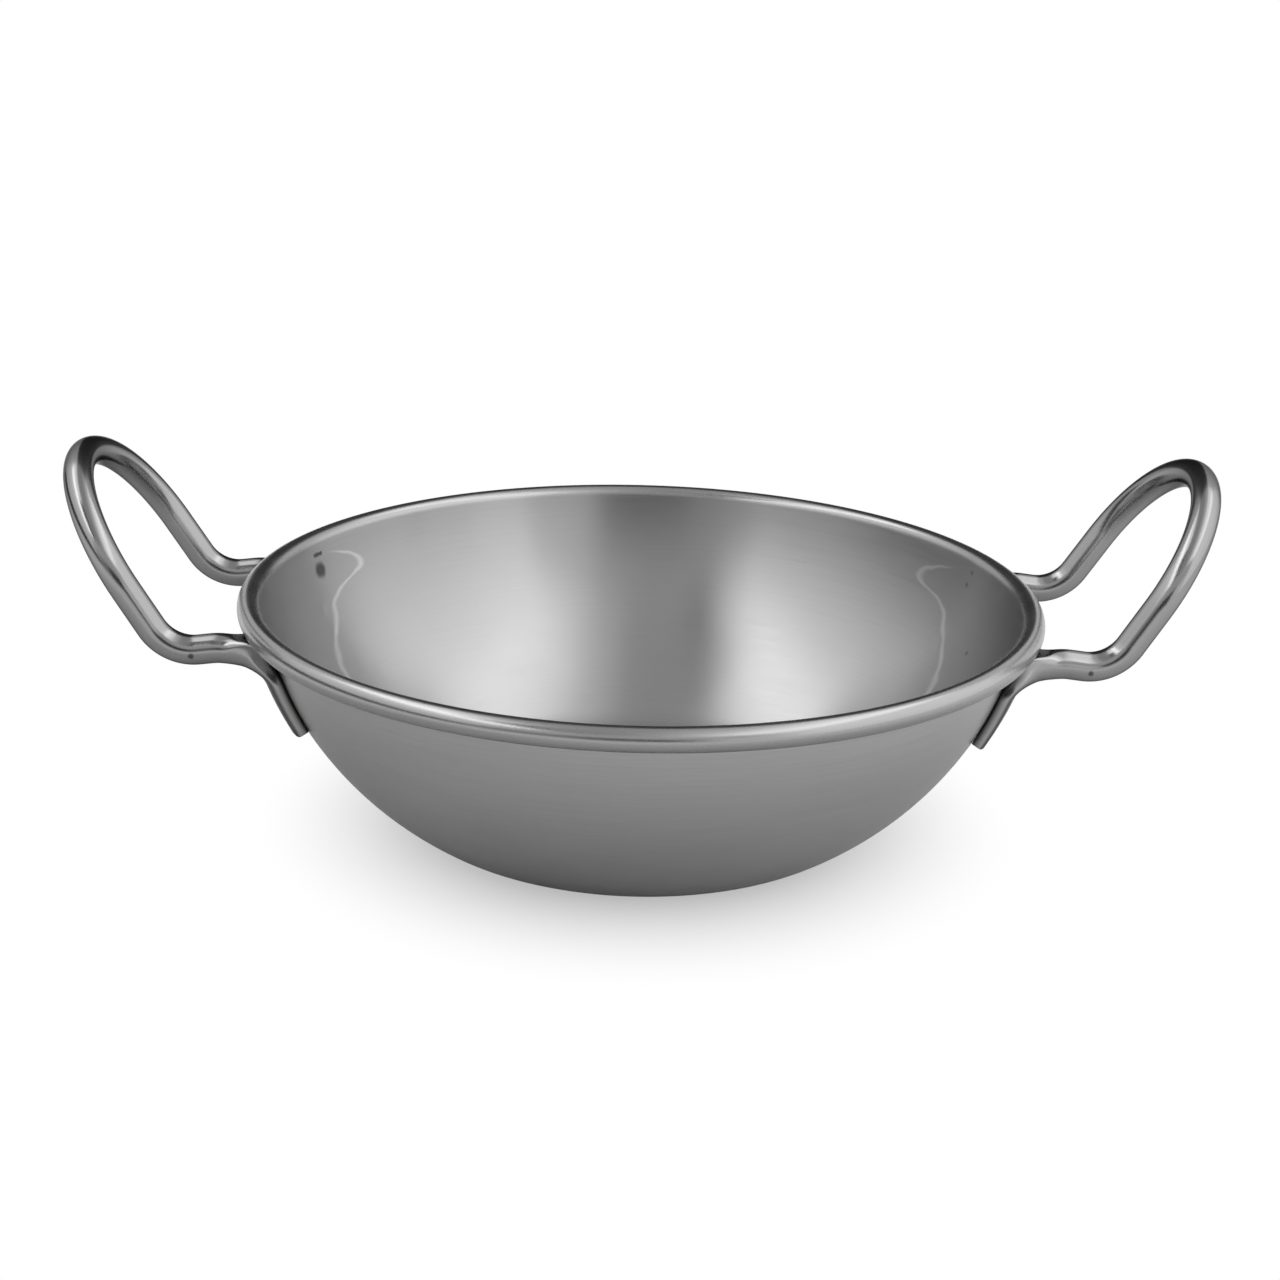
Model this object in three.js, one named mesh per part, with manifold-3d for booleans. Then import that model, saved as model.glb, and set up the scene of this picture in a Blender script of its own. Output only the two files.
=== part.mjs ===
// Two-handled stainless steel balti dish: a pressed bowl with a rolled rim, and two bent wire loop handles
// whose flattened ends are spot welded to the outside of the bowl under the rim.
// Millimetres, +Z up. The origin is the centre of the base, and the handles lie along X.

import * as THREE from 'three';
import { mergeVertices } from 'three/addons/utils/BufferGeometryUtils.js';
import Module from 'manifold-3d';

const degrees = THREE.MathUtils.degToRad;

// Bowl, drawn from one disc of sheet
const rimDiameter = 150;
const bowlHeight = 45.8;
const sheet = 0.8;
const baseDiameter = 69;
const baseCornerRadius = 18.5;
const rimWallAngle = degrees(79.5);

// Rolled rim
const beadDiameter = 4.3;
const curlSweep = degrees(290);

// Handle wire, bent to a loop that leans outwards
const wireDiameter = 5.5;
const legSpacing = 46.4;
const legDrop = 5.2;
const legFall = degrees(7.3);
const cornerOverhang = 9.4;
const cornerBend = 8.6;
const heelBend = 9.9;
const loopLength = 35.5;
const loopLean = degrees(57.9);
const armSplay = degrees(1.9);

// The right handle is welded on a little out of line with the left one
const rightHandleTurn = degrees(1.8);

// Wire ends, pressed flat and shaped to the wall, with the pressing fading out along the heel bend
const tabLength = 9.7;
const tabWidth = 12;
const tabThickness = 2.1;
const tabEndRadius = 1;
const tabSquareness = 5;
const pressedHeel = 0.85;

// Spot welds under each tab
const weldDiameter = 4;
const weldThickness = 0.6;
const weldPitch = 4.5;
const weldFromTabEnd = 2.8;

// Gap that neighbouring pieces keep
const clearance = 0.3;

// Fineness of the facets
const bowlSides = 72;
const wireSides = 16;
const weldSides = 20;
const steps = {
  corner: 4,
  wall: 8,
  curlInside: 8,
  curlOutside: 14,
  tabEnd: 3,
  tab: 3,
  heel: 8,
  bend: 7,
  crown: 10,
};

// Wall of the bowl: a flat base, a corner arc, and a wall arc that meets the rolled rim at its own angle
const baseRadius = baseDiameter / 2;
const beadRadius = beadDiameter / 2;
const beadCentre = new THREE.Vector2(rimDiameter / 2 - beadRadius, bowlHeight - beadRadius);
const cornerCentre = new THREE.Vector2(baseRadius, baseCornerRadius);

function slopeNormal(slope) {
  return new THREE.Vector2(Math.sin(slope), -Math.cos(slope));
}

const rimNormal = slopeNormal(rimWallAngle);
const wallTop = beadCentre.clone().addScaledVector(rimNormal, sheet - beadRadius);
const fromCorner = wallTop.clone().sub(cornerCentre);
const wallRadius = (fromCorner.lengthSq() - baseCornerRadius ** 2)
  / (2 * (fromCorner.dot(rimNormal) - baseCornerRadius));
const wallCentre = wallTop.clone().addScaledVector(rimNormal, -wallRadius);
const blendSlope = Math.atan2(cornerCentre.x - wallCentre.x, wallCentre.y - cornerCentre.y);

// Point of the wall where it has a given slope, moved out from the outer face
function wallPoint(slope, out) {
  const onWall = slope > blendSlope;
  const centre = onWall ? wallCentre : cornerCentre;
  const radius = onWall ? wallRadius : baseCornerRadius;
  return centre.clone().addScaledVector(slopeNormal(slope), radius + out);
}

function arc(centre, radius, from, to, count) {
  return new THREE.EllipseCurve(centre.x, centre.y, radius, radius, from, to, to < from).getPoints(count);
}

function bowlGeometry() {
  const quarter = Math.PI / 2;
  const curlStart = rimWallAngle + quarter;
  const curlEnd = curlStart - curlSweep;
  const blend = blendSlope - quarter;
  const top = rimWallAngle - quarter;
  const outline = [
    new THREE.Vector2(0, 0),
    ...arc(cornerCentre, baseCornerRadius, -quarter, blend, steps.corner),
    ...arc(wallCentre, wallRadius, blend, top, steps.wall).slice(1),
    ...arc(beadCentre, beadRadius - sheet, curlStart, curlEnd, steps.curlInside).slice(1),
    ...arc(beadCentre, beadRadius, curlEnd, curlStart, steps.curlOutside),
    ...arc(wallCentre, wallRadius - sheet, top, blend, steps.wall).slice(1),
    ...arc(cornerCentre, baseCornerRadius - sheet, blend, -quarter, steps.corner).slice(1),
    new THREE.Vector2(0, sheet),
  ];
  return new THREE.LatheGeometry(outline, bowlSides).rotateX(quarter);
}

// Handle frame: x runs outwards from the axis of the dish, y along the rim, z up
const wireRadius = wireDiameter / 2;
const legSide = legSpacing / 2;
const tabOut = clearance + tabThickness / 2;
const cornerPoint = new THREE.Vector3(rimDiameter / 2 + cornerOverhang, legSide, beadCentre.y - legDrop);

// One cross-section of the wire. Pressing runs from 0, round, to 1, flat. Twist turns the flat to face
// the wall, wrap curves it round the wall, and trim takes off the width at the tab's rounded end
function station(point, tangent, up, { press = 0, twist = 0, wrap = 0, trim = 0 } = {}) {
  const across = up.clone().cross(tangent).normalize();
  const normal = tangent.clone().cross(across).applyAxisAngle(tangent, twist);
  across.applyAxisAngle(tangent, twist);
  return { point, tangent, normal, across, press, wrap, trim };
}

function inLegPlane(x, z) {
  return new THREE.Vector3(x, legSide, z);
}

function slopeTangent(slope) {
  return new THREE.Vector3(Math.cos(slope), 0, Math.sin(slope));
}

function slopeUp(slope) {
  return new THREE.Vector3(-Math.sin(slope), 0, Math.cos(slope));
}

// Middle of the pressed tab where the wall has a given slope, with the tab's lean and how it faces the wall
function tabAt(slope) {
  const wall = wallPoint(slope, tabOut);
  const azimuth = Math.asin(legSide / wall.x);
  const x = wall.x * Math.cos(azimuth);
  const lean = Math.atan2(x * Math.sin(slope), wall.x * Math.cos(slope));
  const twist = Math.asin(Math.sin(slope) * Math.sin(azimuth));
  const wrap = Math.sin(slope) / (2 * wall.x);
  return { point: inLegPlane(x, wall.y), lean, twist, wrap, azimuth };
}

function heelCentre(tab) {
  return tab.point.clone().addScaledVector(slopeUp(tab.lean), -heelBend);
}

// Slope of the wall at the top of the tab, where the heel bend touches both the tab and the leg
function findTabTop() {
  let low = blendSlope;
  let high = rimWallAngle;
  while (high - low > 1e-9) {
    const middle = (low + high) / 2;
    const toLeg = cornerPoint.clone().sub(heelCentre(tabAt(middle)));
    if (toLeg.dot(slopeUp(-legFall)) > heelBend) low = middle;
    else high = middle;
  }
  return low;
}

const tabTopSlope = findTabTop();
const tabEndSlope = tabTopSlope - tabLength / wallRadius;

// Round bend between two straight runs that meet at a corner
function bend(corner, entry, exit, radius, count) {
  const turn = entry.angleTo(exit);
  const side = exit.clone().addScaledVector(entry, -Math.cos(turn)).normalize();
  const start = corner.clone().addScaledVector(entry, -radius * Math.tan(turn / 2));
  return Array.from({ length: count + 1 }, (_, i) => {
    const angle = turn * i / count;
    const point = start.clone().addScaledVector(entry, radius * Math.sin(angle));
    point.addScaledVector(side, radius * (1 - Math.cos(angle)));
    const tangent = entry.clone().multiplyScalar(Math.cos(angle)).addScaledVector(side, Math.sin(angle));
    return { point, tangent, share: i / count };
  });
}

// Half of the handle, from the end of one tab to the crown of the loop
function halfHandle() {
  const stations = [];
  const addTab = (rise, trim) => {
    const { point, lean, twist, wrap } = tabAt(tabEndSlope + rise / wallRadius);
    stations.push(station(point, slopeTangent(lean), slopeUp(lean), { press: 1, twist, wrap, trim }));
  };
  for (let i = 0; i < steps.tabEnd; i += 1) {
    const round = Math.PI / 2 * i / steps.tabEnd;
    addTab(tabEndRadius * (1 - Math.cos(round)), tabEndRadius * (1 - Math.sin(round)));
  }
  for (let i = 0; i < steps.tab; i += 1) {
    addTab(THREE.MathUtils.lerp(tabEndRadius, tabLength, i / steps.tab), 0);
  }

  const tabTop = tabAt(tabTopSlope);
  const heel = heelCentre(tabTop);
  for (let i = 0; i <= steps.heel; i += 1) {
    const slope = THREE.MathUtils.lerp(tabTop.lean, -legFall, i / steps.heel);
    const point = heel.clone().addScaledVector(slopeUp(slope), heelBend);
    const press = 1 - THREE.MathUtils.smoothstep(i / steps.heel, 0, pressedHeel);
    const pressed = { press, twist: tabTop.twist * press, wrap: tabTop.wrap * press };
    stations.push(station(point, slopeTangent(slope), slopeUp(slope), pressed));
  }

  const along = new THREE.Vector3(0, 1, 0);
  const leg = slopeTangent(-legFall);
  const loop = slopeTangent(loopLean);
  const arm = loop.clone().multiplyScalar(Math.cos(armSplay)).addScaledVector(along, -Math.sin(armSplay));
  for (const { point, tangent, share } of bend(cornerPoint, leg, arm, cornerBend, steps.bend)) {
    const slope = THREE.MathUtils.lerp(-legFall, loopLean, share);
    stations.push(station(point, tangent, slopeUp(slope)));
  }

  const crownSide = legSide - loopLength * Math.tan(armSplay);
  const crownCorner = cornerPoint.clone().addScaledVector(loop, loopLength).setY(crownSide);
  const crown = along.clone().negate();
  const crownRadius = crownSide / Math.tan(arm.angleTo(crown) / 2);
  for (const { point, tangent } of bend(crownCorner, arm, crown, crownRadius, steps.crown)) {
    stations.push(station(point, tangent, slopeUp(loopLean)));
  }
  return stations;
}

// The same cross-section on the other half of the handle, where the wire runs back down
function mirrored({ point, tangent, normal, across, ...pressing }) {
  const flip = new THREE.Vector3(1, -1, 1);
  return {
    point: point.clone().multiply(flip),
    tangent: tangent.clone().multiply(flip).negate(),
    normal: normal.clone().multiply(flip),
    across: across.clone().multiply(flip),
    ...pressing,
  };
}

// Points round the wire: a circle that is pressed to a flat bar and curved to the wall
function wireRing({ point, normal, across, press, wrap, trim }) {
  const halfWidth = THREE.MathUtils.lerp(wireRadius, tabWidth / 2, press) - trim;
  const halfThickness = THREE.MathUtils.lerp(wireRadius, tabThickness / 2, press);
  const power = 2 / THREE.MathUtils.lerp(2, tabSquareness, press);
  return Array.from({ length: wireSides }, (_, i) => {
    const angle = 2 * Math.PI * i / wireSides;
    const side = halfWidth * Math.sign(Math.cos(angle)) * Math.abs(Math.cos(angle)) ** power;
    const height = halfThickness * Math.sign(Math.sin(angle)) * Math.abs(Math.sin(angle)) ** power;
    const wrapped = height + wrap * side ** 2;
    return point.clone().addScaledVector(across, side).addScaledVector(normal, wrapped);
  });
}

// Closed skin through a row of rings, with a flat cap on each end
function loft(rings, caps) {
  const sides = rings[0].length;
  const last = rings.length - 1;
  const points = [...rings.flat(), ...caps];
  const firstCap = rings.length * sides;
  const faces = [];
  for (let k = 0; k < sides; k += 1) {
    const next = (k + 1) % sides;
    faces.push(firstCap, next, k);
    faces.push(firstCap + 1, last * sides + k, last * sides + next);
    for (let i = 0; i < last; i += 1) {
      const here = i * sides;
      const there = here + sides;
      faces.push(here + k, here + next, there + k);
      faces.push(here + next, there + next, there + k);
    }
  }
  return new THREE.BufferGeometry().setFromPoints(points).setIndex(faces);
}

function handleGeometry() {
  const half = halfHandle();
  const stations = [...half, ...half.slice(0, -1).reverse().map(mirrored)];
  const caps = [stations[0], stations.at(-1)].map(({ point }) => point.clone());
  return loft(stations.map(wireRing), caps);
}

// Disc whose axis is the wall's normal at a weld, from one distance off the wall to another
function weldDisc(end, rise, diameter, from, to) {
  const slope = tabEndSlope + rise / wallRadius;
  const { azimuth } = tabAt(slope);
  const { x: radius, y: height } = wallPoint(slope, (from + to) / 2);
  const { x: outwards, y: upwards } = slopeNormal(slope);
  const turn = end * azimuth;
  const centre = new THREE.Vector3(radius * Math.cos(turn), radius * Math.sin(turn), height);
  const axis = new THREE.Vector3(outwards * Math.cos(turn), outwards * Math.sin(turn), upwards);
  const disc = new THREE.CylinderGeometry(diameter / 2, diameter / 2, to - from, weldSides);
  const upright = new THREE.Vector3(0, 1, 0);
  const pose = new THREE.Matrix4().makeRotationFromQuaternion(
    new THREE.Quaternion().setFromUnitVectors(upright, axis),
  );
  return disc.applyMatrix4(pose.setPosition(centre));
}

const wasm = await Module();
wasm.setup();

function toSolid(geometry) {
  const bare = geometry.clone();
  bare.deleteAttribute('normal');
  bare.deleteAttribute('uv');
  const merged = mergeVertices(bare);
  const vertProperties = new Float32Array(merged.getAttribute('position').array);
  const triVerts = new Uint32Array(merged.getIndex().array);
  return new wasm.Manifold(new wasm.Mesh({ numProp: 3, vertProperties, triVerts }));
}

function toGeometry(solid) {
  const { vertProperties, triVerts } = solid.getMesh();
  const geometry = new THREE.BufferGeometry();
  geometry.setAttribute('position', new THREE.BufferAttribute(vertProperties, 3));
  geometry.setIndex(new THREE.BufferAttribute(triVerts, 1));
  return geometry;
}

// Colours and finishes
const finishes = {
  bowl: { color: 0x9a9a9a, metalness: 1, roughness: 0.38 },
  handle: { color: 0xa6a6a6, metalness: 1, roughness: 0.16 },
  weld: { color: 0x6a6a68, metalness: 1, roughness: 0.6 },
};

function mesh(name, geometry, finish) {
  const made = new THREE.Mesh(geometry, new THREE.MeshStandardMaterial(finishes[finish]));
  made.name = name;
  return made;
}

// Welds of one handle: two up the middle of each tab, each in a pocket pressed into the tab's inner face
const weldRows = { lower: weldFromTabEnd, upper: weldFromTabEnd + weldPitch };
const pocketTop = 2 * clearance + weldThickness;

function handleSide(side, turn) {
  const group = new THREE.Group();
  group.rotation.z = turn;
  let wire = toSolid(handleGeometry());
  for (const end of [1, -1]) {
    const place = end * Math.cos(turn) > 0 ? 'back' : 'front';
    for (const [row, rise] of Object.entries(weldRows)) {
      const pocket = weldDisc(end, rise, weldDiameter + 2 * clearance, 0, pocketTop);
      wire = wire.subtract(toSolid(pocket));
      const nugget = weldDisc(end, rise, weldDiameter, clearance, clearance + weldThickness);
      group.add(mesh(`weld_${side}_${place}_${row}`, nugget, 'weld'));
    }
  }
  group.add(mesh(`handle_${side}`, toGeometry(wire), 'handle'));
  return group;
}

const dish = new THREE.Group();
dish.add(mesh('bowl', bowlGeometry(), 'bowl'));
dish.add(handleSide('right', rightHandleTurn));
dish.add(handleSide('left', Math.PI));

export default dish;
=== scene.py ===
"""Stainless steel balti dish: a pressed bowl with a rolled rim and two spot-welded wire handles."""

import math

import bpy
from mathutils import Matrix, Vector


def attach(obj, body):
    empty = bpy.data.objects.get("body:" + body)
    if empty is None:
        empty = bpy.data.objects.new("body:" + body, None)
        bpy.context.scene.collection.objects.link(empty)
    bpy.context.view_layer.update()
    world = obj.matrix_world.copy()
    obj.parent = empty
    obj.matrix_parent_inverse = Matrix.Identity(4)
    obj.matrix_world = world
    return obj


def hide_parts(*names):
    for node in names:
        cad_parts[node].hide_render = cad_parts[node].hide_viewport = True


bl_info = {
    "name": "Balti dish",
    "version": (1, 0, 0),
    "blender": (4, 5, 0),
    "location": "View3D > Sidebar > Balti dish",
    "description": "Builds a balti dish of stainless steel, with its studio",
    "category": "Object",
}

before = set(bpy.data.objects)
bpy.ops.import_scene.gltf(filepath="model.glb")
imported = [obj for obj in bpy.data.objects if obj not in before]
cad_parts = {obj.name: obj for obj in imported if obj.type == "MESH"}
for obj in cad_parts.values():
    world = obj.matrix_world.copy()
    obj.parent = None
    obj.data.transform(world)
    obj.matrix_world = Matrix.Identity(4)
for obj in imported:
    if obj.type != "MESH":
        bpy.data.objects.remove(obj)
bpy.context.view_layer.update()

BODY = "root"
MM = 0.001
QUARTER = math.pi / 2
UP = Vector((0, 0, 1))
ALONG_WIRE = "along_wire"
# Attribute of the painted shade on the tabs' sides that face the wall
HEAT = "weld_heat"

# Marks that the heat of welding left inside the wall: slope of the wall and azimuth in degrees, radius in mm,
# how far the mark is drawn out along the ring in degrees, and how dark it is
SCORCHES = (
    (74.7, 157.5, 1.6, 0.8, 0.9),
    (77.6, 157.2, 0.45, 2.4, 0.9),
    (77.9, 20.4, 0.6, 0.0, 0.45),
    (75.4, 20.9, 0.6, 0.0, 0.45),
    (64.9, 12.3, 0.5, 0.0, 0.45),
    (74.7, 200.0, 1.2, 0.8, 0.9),
    (74.9, -18.5, 1.0, 0.0, 0.6),
)

# Degrees between the spots that make up a drawn-out mark
SCORCH_STEP = 0.4

# A mark's edge: size and reach of its ragged bites in mm, and where it starts and ends to fade, as shares of
# its radius
BITE_SIZE = 1.111
BITE_REACH = 0.6
SPOT_FADE = (0.5, 1.3)

# Painted reflection of a handle on the inside wall, a pale line beside each tab: height in mm, and bearing
# from the handle in degrees
TIDE_LINE = (
    (18.5, 18.0),
    (24.0, 19.3),
    (28.0, 22.6),
    (32.8, 26.0),
    (34.8, 29.5),
    (36.2, 33.7),
    (37.8, 34.8),
    (39.6, 32.9),
    (42.0, 26.0),
)

# Size of the painted reflection's wobbles, and how far under its top it has faded in, in mm
TIDE_WOBBLE = 5.0
TIDE_FADE = 1.5

# Reach of the wobbles, half the width of the painted reflection's line and half the blur of its darker side,
# in radians
TIDE_STRAY = 0.045
TIDE_HALF_WIDTH = 0.024
TIDE_BLUR = 0.01

# Brightness of the painted reflection's pale line and of its darker side towards the handle, as shares of the
# steel's
TIDE_LINE_TONE = 1.45
TIDE_PATCH_TONE = 0.97

# Setting with which a range's ends are eased
SMOOTH = {"interpolation_type": "SMOOTHSTEP"}

# Noise of the drawn strokes, whose width and length come from the place that it is read at
STROKE_NOISE = {"Scale": 1.0, "Roughness": 0.6}

# Range that the sum of two noises fills, and how much the roughness swings over it
NOISE_SUM = (0.6, 1.4)
ROUGHNESS_SWING = 0.15

# Turn of the brushed steel's highlight, which spreads it across the rings
ACROSS_RINGS = 0.25

# How far the brushing inside goes up round the rolled rim
BRUSHED_FLANK = math.radians(22)

# Edges that turn more than this are drawn sharp
SHARP_EDGE = math.radians(40)

# Share of the heel bend over which the wire goes from pressed flat to round
PRESSED_HEEL = 0.85

# How far the tab's edges are bent down, as a share of its gap to the wall: a little into the sheet, which
# leaves no gap to see through
EDGE_CONTACT = 1.4

# How soon the edges come down where the wire gets flat
EDGE_RATE = 2.5

# Power of the flat section's outline: 2 is an ellipse, and more comes nearer to a bar with sharp edges
TAB_SQUARENESS = 8

# Points round the wire, and round a weld
WIRE_SIDES = 48
WELD_SIDES = 32

# Painted shade on the tabs' sides that face the wall, where they meet it: how flat the wire is and how high
# round the section it starts, each with the rise to its full strength, and its brightness as a share of the
# marks'
HEAT_PRESS = (0.3, 0.5)
HEAT_HEIGHT = (-0.08, 0.15)
HEAT_TONE = 0.5

# Tumbled wire reflects less at a glancing angle than a plain mirror would, which gives it dark edges
EDGE_TINT = (0.3, 0.3, 0.3, 1)

# In a handle's frame: the way along the rim, and the mirror to the handle's other half
ALONG_RIM = Vector((0, 1, 0))
FLIP = Matrix.Diagonal((1, -1, 1))


def millimetres(value, name, description):
    """A length property, given in millimetres and kept in metres."""
    return bpy.props.FloatProperty(
        name=name,
        description=description,
        default=value * MM,
        min=0.0,
        precision=5,
        subtype="DISTANCE",
        unit="LENGTH",
    )


def angle(value, name, description):
    """An angle property, given in degrees and kept in radians."""
    return bpy.props.FloatProperty(
        name=name,
        description=description,
        default=math.radians(value),
        precision=4,
        subtype="ANGLE",
        unit="ROTATION",
    )


def linear(hex_colour):
    """Linear red, green and blue of an sRGB hex colour."""
    channels = [int(hex_colour[i:i + 2], 16) / 255 for i in (1, 3, 5)]
    return tuple(c / 12.92 if c <= 0.04045 else ((c + 0.055) / 1.055) ** 2.4 for c in channels)


def colour(hex_colour, name, description):
    """A colour property, given as sRGB hex and kept linear."""
    return bpy.props.FloatVectorProperty(
        name=name,
        description=description,
        default=linear(hex_colour),
        min=0.0,
        max=1.0,
        subtype="COLOR",
    )


class BowlSizes(bpy.types.PropertyGroup):
    """Sizes of the pressed bowl and its rolled rim."""

    # The round rim is drawn a hair smaller than the faceted one, so it stays inside the faceted one's box
    rim: millimetres(149.98, "Rim", "Diameter over the rolled rim")
    height: millimetres(45.8, "Height", "Height from the base to the top of the rim")
    sheet: millimetres(0.8, "Sheet", "Thickness of the sheet")
    base: millimetres(69, "Base", "Diameter of the flat base")
    corner: millimetres(18.5, "Corner", "Outer radius between the base and the wall")
    rim_slope: angle(79.5, "Slope at the rim", "Slope of the wall where it meets the rolled rim")
    bead: millimetres(4.3, "Bead", "Diameter of the rolled rim's section")
    curl: angle(290, "Curl", "How far round the rim is rolled")
    dimple: millimetres(3.4, "Weld dimple", "Width of the dimple that a weld leaves inside the wall")
    dimple_depth: millimetres(0.06, "Dimple depth", "Depth of the dimple that a weld leaves")
    brush_pitch: millimetres(0.7, "Brush pitch", "Width of the drawn brush strokes on the sheet")
    brush_stroke: millimetres(24, "Brush stroke", "Length of the drawn brush strokes on the sheet")


class HandleSizes(bpy.types.PropertyGroup):
    """Sizes of the bent wire handles, their tabs and their welds."""

    # The round wire is drawn a hair thinner than the faceted one, so it stays inside the faceted one's box
    wire: millimetres(5.4, "Wire", "Diameter of the wire")
    spacing: millimetres(46.4, "Leg spacing", "Distance between the middles of the legs")
    drop: millimetres(5.2, "Leg drop", "How far the leg's outer end lies under the middle of the rolled rim")
    fall: angle(7.3, "Leg fall", "How much the leg slopes down on its way out")
    overhang: millimetres(9.4, "Overhang", "How far the loop's corner stands out from the rim")
    corner: millimetres(8.6, "Corner bend", "Bend radius between leg and loop, at the wire's middle")
    heel: millimetres(9.9, "Heel bend", "Bend radius between tab and leg, at the wire's middle")
    loop: millimetres(35.5, "Loop", "Length of the loop from corner to crown")
    lean: angle(57.9, "Lean", "Slope of the loop")
    splay: angle(1.9, "Splay", "How much the arms of the loop close towards the crown")
    right_turn: angle(1.8, "Right turn", "How far out of line the right handle is welded on")
    tab_length: millimetres(9.7, "Tab length", "Length of the pressed tab")
    tab_width: millimetres(12, "Tab width", "Width of the pressed tab")
    tab_thickness: millimetres(2.1, "Tab thickness", "Thickness of the pressed tab")
    tab_end: millimetres(0.2, "Tab end", "Radius of the corners at the tab's end")
    seat: millimetres(0.3, "Seat", "Gap between the tab and the wall, which the welds bridge")
    weld: millimetres(4, "Weld", "Diameter of a spot weld")
    weld_pitch: millimetres(4.5, "Weld pitch", "Distance between the two welds of a tab")
    weld_inset: millimetres(2.8, "Weld inset", "Distance of the lower weld from the tab's end")
    draw_pitch: millimetres(0.6, "Draw pitch", "Width of the drawn die lines on the wire")
    draw_stroke: millimetres(40, "Draw stroke", "Length of the drawn die lines on the wire")


class Finishes(bpy.types.PropertyGroup):
    """Colours of the steel and the floor."""

    inside: colour("#ACACAC", "Inside", "Ring-brushed sheet inside the bowl")
    outside: colour("#B6B6B6", "Outside", "Satin sheet outside the bowl")
    rim: colour("#A2A2A2", "Rim", "Rolled rim, rubbed brighter than the sheet")
    wire: colour("#9A9A9A", "Wire", "Tumbled wire of the handles")
    weld: colour("#6E6C6A", "Weld", "Heat-dulled steel of a spot weld")
    # Colour of the heat marks and nicks, and at half strength of the painted shade on the tabs' wall sides
    scorch: colour("#4E4B48", "Scorch", "Heat marks and nicks in the steel")
    floor: colour("#C6C6C6", "Floor", "Plain pale floor")


class Studio(bpy.types.PropertyGroup):
    """Camera and light of the stage."""

    aim_height: millimetres(
        43.9, "Aim height", "Height on the dish's axis that the camera distance is counted from"
    )
    distance: millimetres(406, "Distance", "Distance of the camera from the dish's axis at the aim height")
    elevation: angle(17.85, "Elevation", "How far the camera looks down")
    azimuth: angle(-0.46, "Azimuth", "Turn of the camera about the dish's axis")
    roll: angle(1.54, "Roll", "Tilt of the camera about its line of sight")
    aim_left: millimetres(0.0769, "Aim to the left", "How far left of the dish's axis the camera looks")
    aim_drop: millimetres(8.9479, "Aim drop", "How far under the aim height the camera looks")
    lens: bpy.props.FloatProperty(
        name="Lens",
        description="Focal length on a 36 mm wide frame",
        default=60.64,
        subtype="DISTANCE_CAMERA",
        unit="CAMERA",
    )
    room: bpy.props.FloatProperty(
        name="Room",
        description="Brightness of the grey room round the stage",
        default=0.05,
        min=0.0,
    )


def add_node(tree, kind, settings=None, inputs=None, links=None):
    """Adds a node with its settings and input values, linked from other nodes' output sockets."""
    node = tree.nodes.new(kind)
    for key, value in (settings or {}).items():
        setattr(node, key, value)
    for key, value in (inputs or {}).items():
        node.inputs[key].default_value = value
    for key, socket in (links or {}).items():
        tree.links.new(socket, node.inputs[key])
    return node


def new_material(name):
    """An empty node material."""
    material = bpy.data.materials.new(name)
    material.use_nodes = True
    material.node_tree.nodes.clear()
    return material, material.node_tree


def ring_strokes(tree):
    """Noise drawn out round the dish's axis, one pitch wide along the wall and one stroke long at the rim."""
    sizes = bpy.context.scene.balti_bowl
    place = add_node(tree, "ShaderNodeTexCoord").outputs["Object"]
    flat = add_node(tree, "ShaderNodeVectorMath", {"operation": "MULTIPLY"}, {1: (1, 1, 0)}, {0: place})
    across = add_node(
        tree, "ShaderNodeVectorMath", {"operation": "LENGTH"}, links={0: flat.outputs["Vector"]}
    )
    bearing = add_node(
        tree, "ShaderNodeVectorMath", {"operation": "NORMALIZE"}, links={0: flat.outputs["Vector"]}
    )
    height = add_node(tree, "ShaderNodeVectorMath", {"operation": "DOT_PRODUCT"}, {1: (0, 0, 1)}, {0: place})
    along = add_node(
        tree,
        "ShaderNodeMath",
        {"operation": "ADD"},
        links={0: across.outputs["Value"], 1: height.outputs["Value"]},
    )
    rows = add_node(
        tree, "ShaderNodeMath", {"operation": "DIVIDE"}, {1: sizes.brush_pitch}, {0: along.outputs[0]}
    )
    row = add_node(tree, "ShaderNodeCombineXYZ", links={"Z": rows.outputs[0]})
    turns = sizes.rim / 2 / sizes.brush_stroke
    spot = add_node(
        tree,
        "ShaderNodeVectorMath",
        {"operation": "MULTIPLY_ADD"},
        {1: (turns, turns, turns)},
        {0: bearing.outputs["Vector"], 2: row.outputs["Vector"]},
    )
    noise = add_node(
        tree, "ShaderNodeTexNoise", inputs=STROKE_NOISE, links={"Vector": spot.outputs["Vector"]}
    )
    return noise.outputs["Fac"]


def wire_strokes(tree):
    """Noise drawn out along the wire, from each point's place round and along it."""
    sizes = bpy.context.scene.balti_handles
    place = add_node(tree, "ShaderNodeAttribute", {"attribute_name": ALONG_WIRE})
    across, along = 1 / sizes.draw_pitch, 1 / sizes.draw_stroke
    spot = add_node(
        tree,
        "ShaderNodeVectorMath",
        {"operation": "MULTIPLY"},
        {1: (across, across, along)},
        {0: place.outputs["Vector"]},
    )
    noise = add_node(
        tree, "ShaderNodeTexNoise", inputs=STROKE_NOISE, links={"Vector": spot.outputs["Vector"]}
    )
    return noise.outputs["Fac"]


def pits(tree):
    """Fine even noise, as on steel that has melted and set."""
    pit = 0.5 * MM
    place = add_node(tree, "ShaderNodeTexCoord").outputs["Object"]
    noise = add_node(
        tree, "ShaderNodeTexNoise", inputs={"Scale": 1 / pit, "Detail": 3.0}, links={"Vector": place}
    )
    return noise.outputs["Fac"]


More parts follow.
